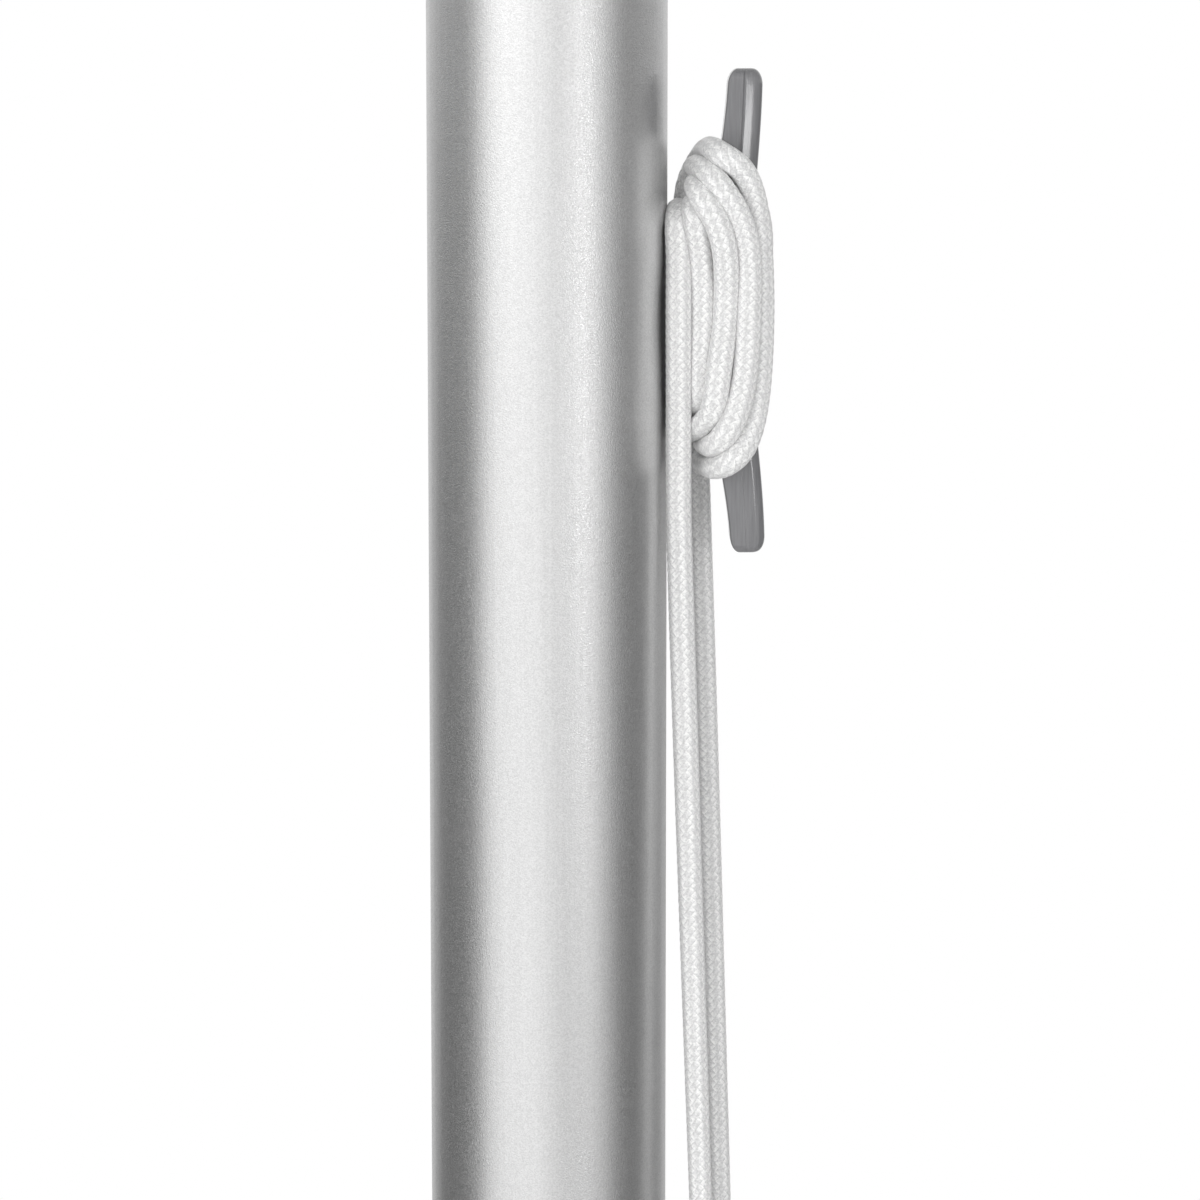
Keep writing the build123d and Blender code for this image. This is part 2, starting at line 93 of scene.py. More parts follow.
def addSurface(name, points, faces, material, uv=None):
    # A smooth mesh from whole arrays: points in metres, four corners a face, a UV a corner.
    # Rings drawn to one point close into poles.
    mesh = bpy.data.meshes.new(name)
    mesh.vertices.add(len(points))
    mesh.vertices.foreach_set("co", points.astype(np.float32).ravel())
    mesh.loops.add(faces.size)
    mesh.loops.foreach_set("vertex_index", faces.astype(np.int32).ravel())
    mesh.polygons.add(len(faces))
    mesh.polygons.foreach_set("loop_start", np.arange(len(faces), dtype=np.int32) * faces.shape[1])
    mesh.update(calc_edges=True)
    if uv is not None:
        layer = mesh.uv_layers.new(name="strand")
        layer.data.foreach_set("uv", uv.astype(np.float32).ravel())
    cleaned = bmesh.new()
    cleaned.from_mesh(mesh)
    bmesh.ops.remove_doubles(cleaned, verts=cleaned.verts, dist=1e-6)
    cleaned.to_mesh(mesh)
    cleaned.free()
    mesh.polygons.foreach_set("use_smooth", np.ones(len(mesh.polygons), bool))
    mesh.materials.append(material)
    piece = bpy.data.objects.new(name, mesh)
    bpy.context.collection.objects.link(piece)
    return piece


def gridFaces(rows, columns):
    # Corner numbers of a grid's quads, row after row; the last column meets the first
    row, column = np.meshgrid(np.arange(rows - 1), np.arange(columns), indexing="ij")
    ahead = (column + 1) % columns
    corners = [(row, column), (row, ahead), (row + 1, ahead), (row + 1, column)]
    return np.stack([(r * columns + c).ravel() for r, c in corners], axis=1), row, column


def place(piece, slot, *nodeNames):
    # Every piece rides on the one body; some stand for CAD nodes
    if nodeNames:
        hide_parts(*nodeNames)
    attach(piece, "root")


# Camera, in metres: half a turn about its line of sight, so that the falls run downwards
camera = dict(lens=127.5, place=(0.0165, 1.33, 1.217), lookAt=(0.0165, 0.0, 1.392))
cameraData = bpy.data.cameras.new("camera")
cameraData.sensor_width = 36.0
cameraData.lens = camera["lens"]
cameraObject = bpy.data.objects.new("camera", cameraData)
bpy.context.collection.objects.link(cameraObject)
bpy.context.scene.camera = cameraObject
sight = Vector(camera["lookAt"]) - Vector(camera["place"])
turned = sight.to_track_quat("-Z", "Y").to_matrix().to_4x4() @ Matrix.Rotation(math.pi, 4, "Z")
cameraObject.matrix_world = Matrix.Translation(camera["place"]) @ turned
bpy.context.scene.view_settings.view_transform = "Standard"
print("camera placed")


# Halyard, in millimetres. Its points are the CAD route's, but the lays on the cleat are
# moved a little.
rope = dict(
    diameter=7.1,
    solidDiameter=6.9,
    woundDiameter=7.6,  # slack on the cleat, the rope is fuller
    oval=1.08,  # and a little flattened
    easeLength=280.0,  # over which it swells from taut to wound
    closeness=0.963,  # its lays lie this much nearer to the cleat's middle than the solids
    lift=0.4,  # and this much higher
    strandDepth=0.24,  # from a yarn's crown down to the hollows beside it
    smoothLoss=0.3,  # share of that depth that a stretch with no carved braid is thinner by
    carriers=8,  # yarn bundles each way round
    pitch=3.1,  # along the rope, from one yarn to the next
    floatFoot=0.45,  # height of a float's ends, as a share of its crown
    linesPerYarn=4,
    lineRelief=0.12,
    paintedGlintDip=0.8,  # how much less painted glint a float gets at its crown than at its ends
    patches=1.7,  # per millimetre, the patches of painted glint
    patchGain=1.9,
    patchShift=-0.93,
    # The shades run from painted shade in the hollows between yarns up to painted glints
    shades=[(0.0, "#CECECE"), (0.35, "#E0E0E0"), (0.75, "#F4F4F3"), (1.0, "#FEFEFD")],
)
# How finely each stretch is drawn: millimetres along it, and steps round it
wound = dict(step=0.78, roundSteps=42, carved=True)
frontFall = dict(step=6.0, roundSteps=16)
lowerFall = dict(step=1.5, roundSteps=24, reference=(0, 1, 0))
upperFall = dict(step=2.6, roundSteps=20)
cleatHeight = 1300.0
hook = dict(
    height=2000.0,
    reach=62.0,
    side=-19.0,
    bar=6.0,
    length=62.0,
    linkClearance=0.2,
    legGap=0.2,  # between the two legs of an eye
    legStart=68.0,  # from the eye's end to its first point
    legsMeet=22.0,
    ropeEnd=64.0,
)
sheave = dict(height=5990.0, reach=85.0, lead=23.55, squeeze=0.12, levels=41, roundSteps=24)
# The lays' points: X and Y from the pole's axis, height from the cleat's middle
firstLay = [(40.9, 11.3, 50), (41.0, 11.4, 24), (40.8, 13.6, 0), (41.0, 10.4, -18.1)]
firstLay += [(40.3, 11.7, -30.1), (41.7, -6.4, -33.8), (42.5, -13.5, -20.4)]
firstLay += [(44.5, -12.5, 0), (44.0, -14.0, 22.8), (40.1, -5.4, 33.4)]
secondLay = [(48.5, 10.5, 30.3), (47.9, 10.8, 18.4), (48.2, 10.6, 0), (48.2, 10.7, -18.0)]
secondLay += [(45.2, 15.5, -33.8), (46.0, -4.0, -34.2), (52.2, -14.7, -26.4)]
secondLay += [(49.4, -10.1, 0), (52.4, -12.0, 28.1), (37.6, -8.4, 42.3)]
thirdLay = [(51.4, 15.5, 35.8), (53.2, 16.6, 19.5), (55.9, 10.5, 0), (55.3, 18.2, -25.0)]
thirdLay += [(45.8, 17.5, -40.3), (47.4, -7.8, -40.8), (60.5, -16.3, -30.4)]
thirdLay += [(56.2, -9.2, 0), (60.3, -15.7, 26.8), (48.0, -12.5, 42.6)]
fourthLay = [(52.1, 17.4, 44.4), (60.7, 16.6, 30.1), (63.0, 11.1, 0), (62.3, 15.2, -27.0)]
fourthLay += [(50.0, 18.2, -46.0), (44.5, -10.1, -46.6), (67.8, -17.4, -37.8)]
fourthLay += [(66.4, -9.4, 0), (64.5, -10.8, 42.3), (46.7, -13.1, 49.8)]
fifthLay = [(54.3, 17.7, 51.2), (64.7, 13.2, 39.9), (67.5, 4.3, 0), (64.6, 12.0, -42.8)]
fifthLay += [(51.9, 17.2, -52.3), (49.9, -16.5, -51.9), (42.6, -6.2, -37.9)]


def atCleat(points):
    return [(x, y, cleatHeight + z) for x, y, z in points]


def splineThrough(points, step):
    # The route's points are the control points of one smooth curve, read back and then
    # spaced evenly along its length
    curve = bpy.data.curves.new("route", "CURVE")
    curve.dimensions = "3D"
    curve.resolution_u = 24
    spline = curve.splines.new("NURBS")
    spline.points.add(len(points) - 1)
    weighted = np.hstack([np.array(points, float), np.ones((len(points), 1))])
    spline.points.foreach_set("co", weighted.ravel())
    spline.order_u = 3
    spline.use_endpoint_u = True
    holder = bpy.data.objects.new("route", curve)
    line = bpy.data.meshes.new_from_object(holder)
    path = np.empty(3 * len(line.vertices), np.float32)
    line.vertices.foreach_get("co", path)
    bpy.data.objects.remove(holder)
    bpy.data.meshes.remove(line)
    bpy.data.curves.remove(curve)
    path = path.reshape(-1, 3).astype(float)
    run = np.concatenate([[0], np.cumsum(np.linalg.norm(np.diff(path, axis=0), axis=1))])
    even = np.linspace(0, run[-1], int(run[-1] / step) + 1)
    return np.stack([np.interp(even, run, path[:, axis]) for axis in range(3)], axis=1), even


def carriedSection(name, path, section, material, reference=(1, 0, 0), along=None):
    # A closed section carried along a path: section[ring, step] is its (sideways, upright)
    # place, sideways being the reference less its part along the path. The first and last
    # ring are drawn to the path and close the ends.
    tangent = np.gradient(path, axis=0)
    tangent /= np.linalg.norm(tangent, axis=1)[:, None]
    across = np.array(reference, float)
    sideways = across - tangent * (tangent @ across)[:, None]
    sideways /= np.linalg.norm(sideways, axis=1)[:, None]
    upright = np.cross(tangent, sideways)
    rings = path[:, None] + section[..., :1] * sideways[:, None] + section[..., 1:] * upright[:, None]
    steps = section.shape[1]
    foot = np.repeat(path[:1, None], steps, axis=1)
    head = np.repeat(path[-1:, None], steps, axis=1)
    points = np.concatenate([foot, rings, head]).reshape(-1, 3) * mm
    faces, row, column = gridFaces(len(path) + 2, steps)
    travel = np.arange(len(path)) if along is None else along
    travel = np.concatenate([travel[:1], travel, travel[-1:]])
    turn = np.stack([(column + shift) / steps for shift in (0, 1, 1, 0)], axis=-1)
    travel = np.stack([travel[row], travel[row], travel[row + 1], travel[row + 1]], axis=-1)
    return addSurface(name, points, faces, material, np.stack([turn, travel], axis=-1).reshape(-1, 2))


def braidHeight(around, along):
    # Two families of yarns cross: a = n around + along, b = n around - along. Each floats
    # over two and under two, so height = half circle across the yarn x arch along it, where
    # arch = foot + (1 - foot) x half a sine.
    a = rope["carriers"] * around + along
    b = rope["carriers"] * around - along
    floatA = np.mod(b + np.floor(a), 4)
    floatB = np.mod(a + np.floor(b) - 2, 4)
    onTop = floatA < 2
    across = np.where(onTop, np.mod(a, 1), np.mod(b, 1))
    arch = np.where(onTop, floatA, floatB) / 2
    yarn = np.sqrt(np.clip(1 - (2 * across - 1) ** 2, 0, 1))
    foot = rope["floatFoot"]
    return yarn * (foot + (1 - foot) * np.sin(np.pi * np.clip(arch, 0, 1)))


def ropeSurface(name, points, material, step, roundSteps, reference=(1, 0, 0), start=0.0, carved=False):
    # A circle along the route, less the depth of the braid's hollows where the braid is
    # carved. A carved stretch swells to the wound, oval section away from its ends:
    # s = e^2 (3 - 2e), e = distance from the nearer end over the ease length, up to 1.
    path, run = splineThrough(points, step)
    around = np.arange(roundSteps)[None, :] / roundSteps
    along = run / rope["pitch"] + start
    ease = np.clip(np.minimum(run, run[-1] - run) / rope["easeLength"], 0, 1)[:, None] * carved
    ease = ease ** 2 * (3 - 2 * ease)
    radius = (rope["diameter"] + (rope["woundDiameter"] - rope["diameter"]) * ease) / 2 + 0 * around
    if carved:
        radius = radius - rope["strandDepth"] * (1 - braidHeight(around, along[:, None]))
    else:
        radius = radius - rope["strandDepth"] * rope["smoothLoss"]
    angle = 2 * np.pi * around
    wider = 1 + (rope["oval"] - 1) * ease
    section = np.stack([radius * wider * np.cos(angle), radius * np.sin(angle)], axis=-1)
    return carriedSection(name, path, section, material, reference, along), along[-1]


def braidedPolyester(name, carved):
    # Braided polyester: silky filament yarns, and light that seeps between. Its colour holds painted light:
    # painted glints where the floats dive and painted shade in the hollows between yarns.
    # Its relief is worked out as in braidHeight, so that it falls on the carved yarns.
    values = {"Roughness": 0.38, "Sheen Weight": 0.3, "Sheen Roughness": 0.4}
    values |= {"Subsurface Weight": 0.35, "Subsurface Radius": (1.0, 1.0, 1.0), "Subsurface Scale": 0.0014}
    material, tree, shader = newMaterial(name, values)
    strand = addNode(tree, "UVMap", uv_map="strand")
    turn = addNode(tree, "SeparateXYZ", {0: strand})
    travel = turn.node.outputs[1]
    scaled = addNode(tree, "Math", {0: turn, 1: float(rope["carriers"])}, operation="MULTIPLY")
    a = addNode(tree, "Math", {0: scaled, 1: travel}, operation="ADD")
    b = addNode(tree, "Math", {0: scaled, 1: travel}, operation="SUBTRACT")
    floorA = addNode(tree, "Math", {0: a}, operation="FLOOR")
    floorB = addNode(tree, "Math", {0: b}, operation="FLOOR")
    sumA = addNode(tree, "Math", {0: b, 1: floorA}, operation="ADD")
    sumB = addNode(tree, "Math", {0: a, 1: floorB}, operation="ADD")
    floatA = addNode(tree, "Math", {0: sumA, 1: 4.0}, operation="FLOORED_MODULO")
    shifted = addNode(tree, "Math", {0: sumB, 1: 2.0}, operation="SUBTRACT")
    floatB = addNode(tree, "Math", {0: shifted, 1: 4.0}, operation="FLOORED_MODULO")
    onTop = addNode(tree, "Math", {0: floatA, 1: 2.0}, operation="LESS_THAN")
    partA = addNode(tree, "Math", {0: a}, operation="FRACT")
    partB = addNode(tree, "Math", {0: b}, operation="FRACT")
    across = addNode(tree, "Mix", {0: onTop, 2: partB, 3: partA})
    over = addNode(tree, "Mix", {0: onTop, 2: floatB, 3: floatA})
    centred = addNode(tree, "Math", {0: across, 1: 2.0, 2: -1.0}, operation="MULTIPLY_ADD")
    squared = addNode(tree, "Math", {0: centred, 1: centred}, operation="MULTIPLY")
    rest = addNode(tree, "Math", {0: 1.0, 1: squared}, operation="SUBTRACT")
    roundness = addNode(tree, "Math", {0: rest}, operation="SQRT")
    swing = addNode(tree, "Math", {0: over, 1: math.pi / 2}, operation="MULTIPLY")
    arch = addNode(tree, "Math", {0: swing}, operation="SINE")
    foot = rope["floatFoot"]
    lifted = addNode(tree, "Math", {0: arch, 1: 1 - foot, 2: foot}, operation="MULTIPLY_ADD")
    height = addNode(tree, "Math", {0: roundness, 1: lifted}, operation="MULTIPLY")
    # Filaments are 0.02 mm; these lines are drawn some 0.5 mm apart, so that they show
    fine = addNode(tree, "Math", {0: across, 1: 2 * math.pi * rope["linesPerYarn"]}, operation="MULTIPLY")
    lines = addNode(tree, "Math", {0: fine}, operation="SINE")
    # Painted light in the colour: a float is painted grey at its crown and gets a painted glint where it
    # dives at its ends.
    # Its edges get the painted shade of the hollows, and painted glints come in patches 0.6 mm wide:
    # painted glint = roundness x (1 - dip x arch) + gain x noise + shift
    spot = addNode(tree, "TexCoord", output="Object")
    patches = addNode(tree, "TexNoise", {"Vector": spot, "Scale": rope["patches"] / mm, "Detail": 2.0})
    gained = {0: patches, 1: rope["patchGain"], 2: rope["patchShift"]}
    stirred = addNode(tree, "Math", gained, operation="MULTIPLY_ADD")
    dive = addNode(tree, "Math", {0: arch, 1: -rope["paintedGlintDip"], 2: 1.0}, operation="MULTIPLY_ADD")
    paintedGlint = addNode(tree, "Math", {0: roundness, 1: dive, 2: stirred}, operation="MULTIPLY_ADD")
    colour = addNode(tree, "ValToRGB", {0: paintedGlint}, stops=rope["shades"])
    tree.links.new(colour, shader.inputs["Base Color"])
    body = 0.0 if carved else height
    relief = addNode(tree, "Math", {0: lines, 1: rope["lineRelief"], 2: body}, operation="MULTIPLY_ADD")
    depth = rope["strandDepth"] * mm
    bump = addNode(tree, "Bump", {"Height": relief, "Distance": depth, "Strength": 0.8})
    tree.links.new(bump, shader.inputs["Normal"])
    return material


def eyeFrame(up):
    # Height of an eye's end in its hook, and how far its legs stand from its middle
    pull = (hook["bar"] + hook["linkClearance"]) / 2
    apex = hook["height"] + up * (hook["length"] - hook["bar"] - pull)
    return apex, (rope["solidDiameter"] + hook["legGap"]) / 2


def hookEye(up, across):
    # The route's last points: the standing leg, round the hook's end, to the rope's end
    apex, leg = eyeFrame(up)
    half = (hook["bar"] + rope["solidDiameter"]) / 2 + hook["linkClearance"]
    corners = [(leg, hook["legStart"]), (leg, hook["legsMeet"])]
    corners += [(half, half), (half, -half), (-half, -half), (-half, half)]
    corners += [(-leg, hook["legsMeet"]), (-leg, hook["ropeEnd"])]
    middle = np.array([hook["reach"], hook["side"], apex])
    return [tuple(middle + np.array(across) * out + np.array([0, 0, up * rise])) for out, rise in corners]


fineBraid = braidedPolyester("braidedPolyesterCarved", True)
longBraid = braidedPolyester("braidedPolyester", False)
frontSeam, frontFoot = atCleat([(51.6, 12.3, 370), (41.3, 11.3, 79)])
backFoot, backSeam = atCleat([(45.4, -18.0, -20), (58.1, -18.0, 370)])
lays = firstLay + secondLay + thirdLay + fourthLay + fifthLay
lays = atCleat([(x, y, z * rope["closeness"] + rope["lift"]) for x, y, z in lays])
woundRoute = [frontSeam, frontFoot] + lays + [backFoot, backSeam]
windingPiece, windingEnd = ropeSurface("halyardWinding", woundRoute, fineBraid, **wound)
place(windingPiece, "rope_white", "halyard_winding")

frontRoute = [frontSeam] + atCleat([(56.6, 12.8, 512), (62.0, 14.5, 900), (76.0, 19.0, 2200)])
frontRoute += [(84.0, 23.2, sheave["height"] - 1400)]
frontRoute += [(sheave["reach"], sheave["lead"], sheave["height"] + rise) for rise in (-400, 0)]
frontPiece = ropeSurface("halyardFrontFall", frontRoute, longBraid, **frontFall)[0]
place(frontPiece, "rope_white", "halyard_front_fall")
lowerRoute = [backSeam] + atCleat([(62.0, -18.0, 490)]) + hookEye(-1, (1, 0, 0))
lowerFall["start"] = windingEnd  # its braid goes on from the winding's
lowerPiece = ropeSurface("halyardBackFallLower", lowerRoute, longBraid, **lowerFall)[0]
place(lowerPiece, "rope_white", "halyard_back_fall_lower")
upperRoute = [(sheave["reach"], -sheave["lead"], sheave["height"] + rise) for rise in (0, -400)]
upperRoute += [(83.5, -23.4, sheave["height"] - 1500), (75.0, -20.5, sheave["height"] - 2900)]
upperRoute += [(66.0, -16.5, hook["height"] + 300)] + hookEye(1, (0, 1, 0))
upperPiece = ropeSurface("halyardBackFallUpper", upperRoute, longBraid, **upperFall)[0]
place(upperPiece, "rope_white", "halyard_back_fall_upper")

# Over the sheave: half a circle of the lead's radius, where the groove squeezes the rope
bend = np.linspace(0, np.pi, sheave["levels"])[:, None]
overSheave = np.hstack([
    np.full_like(bend, sheave["reach"]),
    sheave["lead"] * np.cos(bend),
    sheave["height"] + sheave["lead"] * np.sin(bend),
])
bendAngle = np.arange(sheave["roundSteps"]) / sheave["roundSteps"] * 2 * np.pi + 0 * bend
bendRadius = rope["diameter"] / 2 - sheave["squeeze"]
bendSection = np.stack([np.cos(bendAngle), np.sin(bendAngle)], axis=-1) * bendRadius
bendAlong = bend[:, 0] * sheave["lead"] / rope["pitch"]
bendPiece = carriedSection("halyardSheaveTurn", overSheave, bendSection, longBraid, along=bendAlong)
place(bendPiece, "rope_white", "halyard_sheave_turn")
print("halyard made")


# Seizings, in millimetres: tight turns of waxed twine round both legs of an eye
twine = dict(
    pitch=1.25,
    bore=7.1,
    wall=1.6,
    length=30.0,
    start=30.0,  # from the eye's end
    groove=0.55,  # depth between two turns, as a share of the pitch
    tightness=0.85,
    turnSteps=6,
    roundSteps=48,
)


def waxedTwine():
    # Waxed twine: twisted yarn under wax, dull, with painted shade in the hollows between its plies
    values = {"Base Color": linearColour("#E6E4DE"), "Roughness": 0.55, "Sheen Weight": 0.15}
    material, tree, shader = newMaterial("waxedTwine", values)
    strand = addNode(tree, "UVMap", uv_map="strand")
    slant = {"Vector": strand, "Scale": (60.0, 1.0, 1.0), "Rotation": (0, 0, 0.5)}
    turned = addNode(tree, "Mapping", slant)
    twist = addNode(tree, "TexWave", {"Vector": turned, "Scale": 0.32, "Distortion": 0.6})
    twist.node.wave_profile = "SIN"
    # Painted shade: the colour darkens where the twist's bump is low, in the hollows
    colour = addNode(tree, "ValToRGB", {0: twist}, stops=[(0.15, "#D3D0C8"), (0.8, "#EDEBE6")])
    tree.links.new(colour, shader.inputs["Base Color"])
    bump = addNode(tree, "Bump", {"Height": twist, "Distance": 0.12 * mm, "Strength": 0.7})
    tree.links.new(bump, shader.inputs["Normal"])
    return material


def seizingSurface(name, up, across, material):
    # Round both legs lies a stadium: straight sides, half circles at its ends. Its radius is
    # half the bore + tightness x (wall - groove x pitch x (1 - sqrt(1 - x^2))), with x from
    # -1 to 1 across each turn of the twine.
    apex, leg = eyeFrame(up)
    levels = np.linspace(0, twine["length"], int(twine["length"] / twine["pitch"]) * twine["turnSteps"] + 1)
    x = np.mod(levels / twine["pitch"], 1) * 2 - 1
    swell = twine["wall"] - twine["groove"] * twine["pitch"] * (1 - np.sqrt(np.clip(1 - x ** 2, 0, 1)))
    angle = np.arange(twine["roundSteps"]) / twine["roundSteps"] * 2 * np.pi
    radius = twine["bore"] / 2 + swell[:, None] * twine["tightness"]
    sideways = leg * np.sign(np.round(np.cos(angle), 6)) + radius * np.cos(angle)
    section = np.stack([sideways, radius * np.sin(angle) + 0 * sideways], axis=-1)
    start = np.array([[hook["reach"], hook["side"], apex + up * twine["start"]]])
    path = start + levels[:, None] * np.array([[0, 0, up]])
    return carriedSection(name, path, section, material, across, levels)


waxed = waxedTwine()
for seizingPlace, up, across in (("upper", 1, (0, 1, 0)), ("lower", -1, (1, 0, 0))):
    seizingPiece = seizingSurface("seizing" + seizingPlace.capitalize(), up, across, waxed)
    place(seizingPiece, "seizing_white", "seizing_" + seizingPlace)
print("seizings made")


# Cleat, in millimetres from the pole's axis and its own middle
cleat = dict(
    innerFace=52.0,
    outerFace=62.9,
    stemFace=36.4,
    halfWidth=7.0,
    halfLength=76.5,
    stemHalfLength=28.0,
    stemRadius=3.6,
    shoulder=0.2,  # from the stem's end to the horn's first level
    flare=(4.1, 5.4),  # lower and upper horn
    innerRadius=1.5,
    innerArcEnd=0.7,  # radians, where the inner corner's arc meets the flat
    outerRadius=3.7,
    facetAngle=16.5,  # degrees, the outer half of each side
    facetWidth=6.2,  # from the parting line to the outer face
    upperFacetAngle=4.0,
    # The parting line's bead and groove, as (outwards, lift)
    parting=[(-0.3, 0.0), (-0.15, 0.18), (0.0, 0.22), (0.1, 0.1), (0.2, -0.3), (0.36, -0.3)],
    partingHalf=0.45,  # half of the width that it takes
    partingFade=0.75,  # how much of its bead is worn off the upper horn
    lowerTip=74.6,  # the lower horn is a little the shorter
    tipLength=5.4,
    tipNarrowing=0.6,
    tipEdge=2.8,
    tipEdgeNarrowing=0.6,
)


def cleatSection(inner, outer, slope, sharpness):
    # Half a section, from the inner face round the near side to the outer face: an arc, a
    # flat up to the parting line's low bead, a facet that slopes away, and a second arc
    halfWidth, rIn, rOut = cleat["halfWidth"], cleat["innerRadius"], cleat["outerRadius"]
    ridge = outer - cleat["facetWidth"]
    arcEnd, partingHalf = cleat["innerArcEnd"], cleat["partingHalf"]
    inTurn = np.linspace(np.pi / 2, arcEnd, 6)[None, :]
    inArc = (inner + rIn * (1 - np.sin(inTurn)), halfWidth - rIn * (math.cos(arcEnd) - np.cos(inTurn)))
    flatStart = inner + rIn * (1 - math.sin(arcEnd))
    share = np.array([[0.02, 0.25, 0.5, 0.75, 1.0]])
    flat = (flatStart + (ridge - partingHalf - flatStart) * share, halfWidth + 0 * share)
    beadStep, beadLift = np.array(cleat["parting"]).T[:, None]
    bead = (ridge + beadStep, halfWidth + beadLift * sharpness)
    facetLength = cleat["facetWidth"] - rOut * (1 - np.sin(slope))
    facetX = partingHalf + (facetLength - partingHalf) * np.linspace(0, 1, 6)[None, :]
    facet = (ridge + facetX, halfWidth - facetX * np.tan(slope))
    bendOut = slope + (np.pi / 2 - slope) * np.linspace(0, 1, 8)[None, 1:]
    low = halfWidth - facetLength * np.tan(slope) - rOut * np.cos(slope)
    outArc = (outer - rOut * (1 - np.sin(bendOut)), low + rOut * np.cos(bendOut))
    runs = (inArc, flat, bead, facet, outArc)
    x = np.concatenate([run[0] + 0 * inner for run in runs], axis=1)
    return x, np.concatenate([run[1] + 0 * inner for run in runs], axis=1)


def cleatSurface(name, material):
    # Sections stand on levels from tip to tip. Outer face: outer + flare s(t), t = level over
    # half length, s = t^2 (3 - 2t). Inner face: the same between stem and tip, and the pole
    # inside the stem, whose end is a quarter circle. A tip narrows as a quarter ellipse to a
    # flat end, and its near and far edges do so over a shorter length.
    half, stem = cleat["halfLength"], cleat["stemHalfLength"]
    quarter = np.sin(np.linspace(0, np.pi / 2, 13))
    end = stem - cleat["stemRadius"] * (1 - quarter)
    tip = half - cleat["tipLength"] * (1 - quarter)
    runs = (np.linspace(0, end[0], 8)[:-1], end)
    runs += (np.linspace(stem + cleat["shoulder"], tip[0], 30)[:-1], tip)
    upper = np.concatenate(runs)
    level = np.concatenate([-upper[::-1], upper[1:]])[:, None]
    size = np.abs(level)
    t = size / half
    flare = np.where(level < 0, *cleat["flare"])
    outer = cleat["outerFace"] + flare * t ** 2 * (3 - 2 * t)
    s = np.clip((size - stem) / (half - stem), 0, 1)
    horn = cleat["innerFace"] + flare * s ** 2 * (3 - 2 * s)
    q = np.clip(1 - (stem - size) / cleat["stemRadius"], 0, 1)
    stemSide = cleat["stemFace"] + (1 - np.sqrt(1 - q ** 2)) * cleat["stemRadius"]
    inner = np.where(size <= stem, stemSide, horn)
    blend = np.clip(level / stem / 2 + 0.5, 0, 1)
    slope = np.radians(cleat["facetAngle"] * (1 - blend) + cleat["upperFacetAngle"] * blend)
    x, y = cleatSection(inner, outer, slope, 1 - cleat["partingFade"] * blend)
    d = np.clip(1 - (half - size) / cleat["tipLength"], 0, 1)
    shrink = 1 - np.sqrt(1 - d ** 2)
    middle = (inner + outer) / 2
    x = middle + (x - middle) * (1 - cleat["tipNarrowing"] * shrink)
    edge = np.clip(1 - (half - size) / cleat["tipEdge"], 0, 1)
    y = y * (1 - cleat["tipEdgeNarrowing"] * (1 - np.sqrt(1 - edge ** 2)))
    x = np.concatenate([x, x[:, ::-1]], axis=1)
    y = np.concatenate([y, -y[:, ::-1]], axis=1)
    drop = np.where(level < 0, cleat["lowerTip"] / half, 1.0)
    rings = np.stack([x, y, cleatHeight + level * drop + 0 * x], axis=-1)
    foot = np.repeat(rings[:1].mean(axis=1, keepdims=True), x.shape[1], axis=1)
    head = np.repeat(rings[-1:].mean(axis=1, keepdims=True), x.shape[1], axis=1)
    points = np.concatenate([foot, rings, head])
    faces = gridFaces(len(points), x.shape[1])[0]
    return addSurface(name, points.reshape(-1, 3) * mm, faces[:, ::-1], material)


def mouldedNylon():
    # Glass-filled nylon, moulded: mid grey with a clear gloss, fine flow lines and a skin that
    # is hardly grained. Its fibres are 0.01 mm; the lines are drawn 0.7 mm apart, so they show.
    values = {"Base Color": linearColour("#7A7A7C"), "Roughness": 0.12, "IOR": 1.53}
    material, tree, shader = newMaterial("mouldedNylon", values)
    spot = addNode(tree, "TexCoord", output="Object")
    stretched = addNode(tree, "Mapping", {"Vector": spot, "Scale": (1.0, 1.0, 0.06)})
    marks = addNode(tree, "TexNoise", {"Vector": stretched, "Scale": 1.4 / mm, "Detail": 3.0})
    colour = addNode(tree, "ValToRGB", {0: marks}, stops=[(0.3, "#747476"), (0.7, "#808082")])
    tree.links.new(colour, shader.inputs["Base Color"])
    rough = addNode(tree, "MapRange", {0: marks, 1: 0.3, 2: 0.7, 3: 0.09, 4: 0.15})
    tree.links.new(rough, shader.inputs["Roughness"])
    grain = addNode(tree, "TexNoise", {"Vector": spot, "Scale": 2.6 / mm, "Detail": 2.0})
    bump = addNode(tree, "Bump", {"Height": grain, "Distance": 0.02 * mm, "Strength": 0.3})
    tree.links.new(bump, shader.inputs["Normal"])
    return material


cleatPiece = cleatSurface("cleatBody", mouldedNylon())
place(cleatPiece, "cleat_grey", "cleat_body")
print("cleat made")


# Pole finish: counts are per millimetre, lengths in millimetres
tube = dict(
    grains=2.8,
    grainShare=0.35,  # of the shade
    lines=0.9,
    lineShare=0.2,
    lineStretch=0.01,
    pits=2.5,
    pitDepth=0.07,
    roughness=(0.31, 0.44),
    shades=[(0.05, "#CFCFCF"), (0.5, "#E7E7E7")],
    jointHalfWidth=0.4,
    jointColour="#4A4A4A",
)


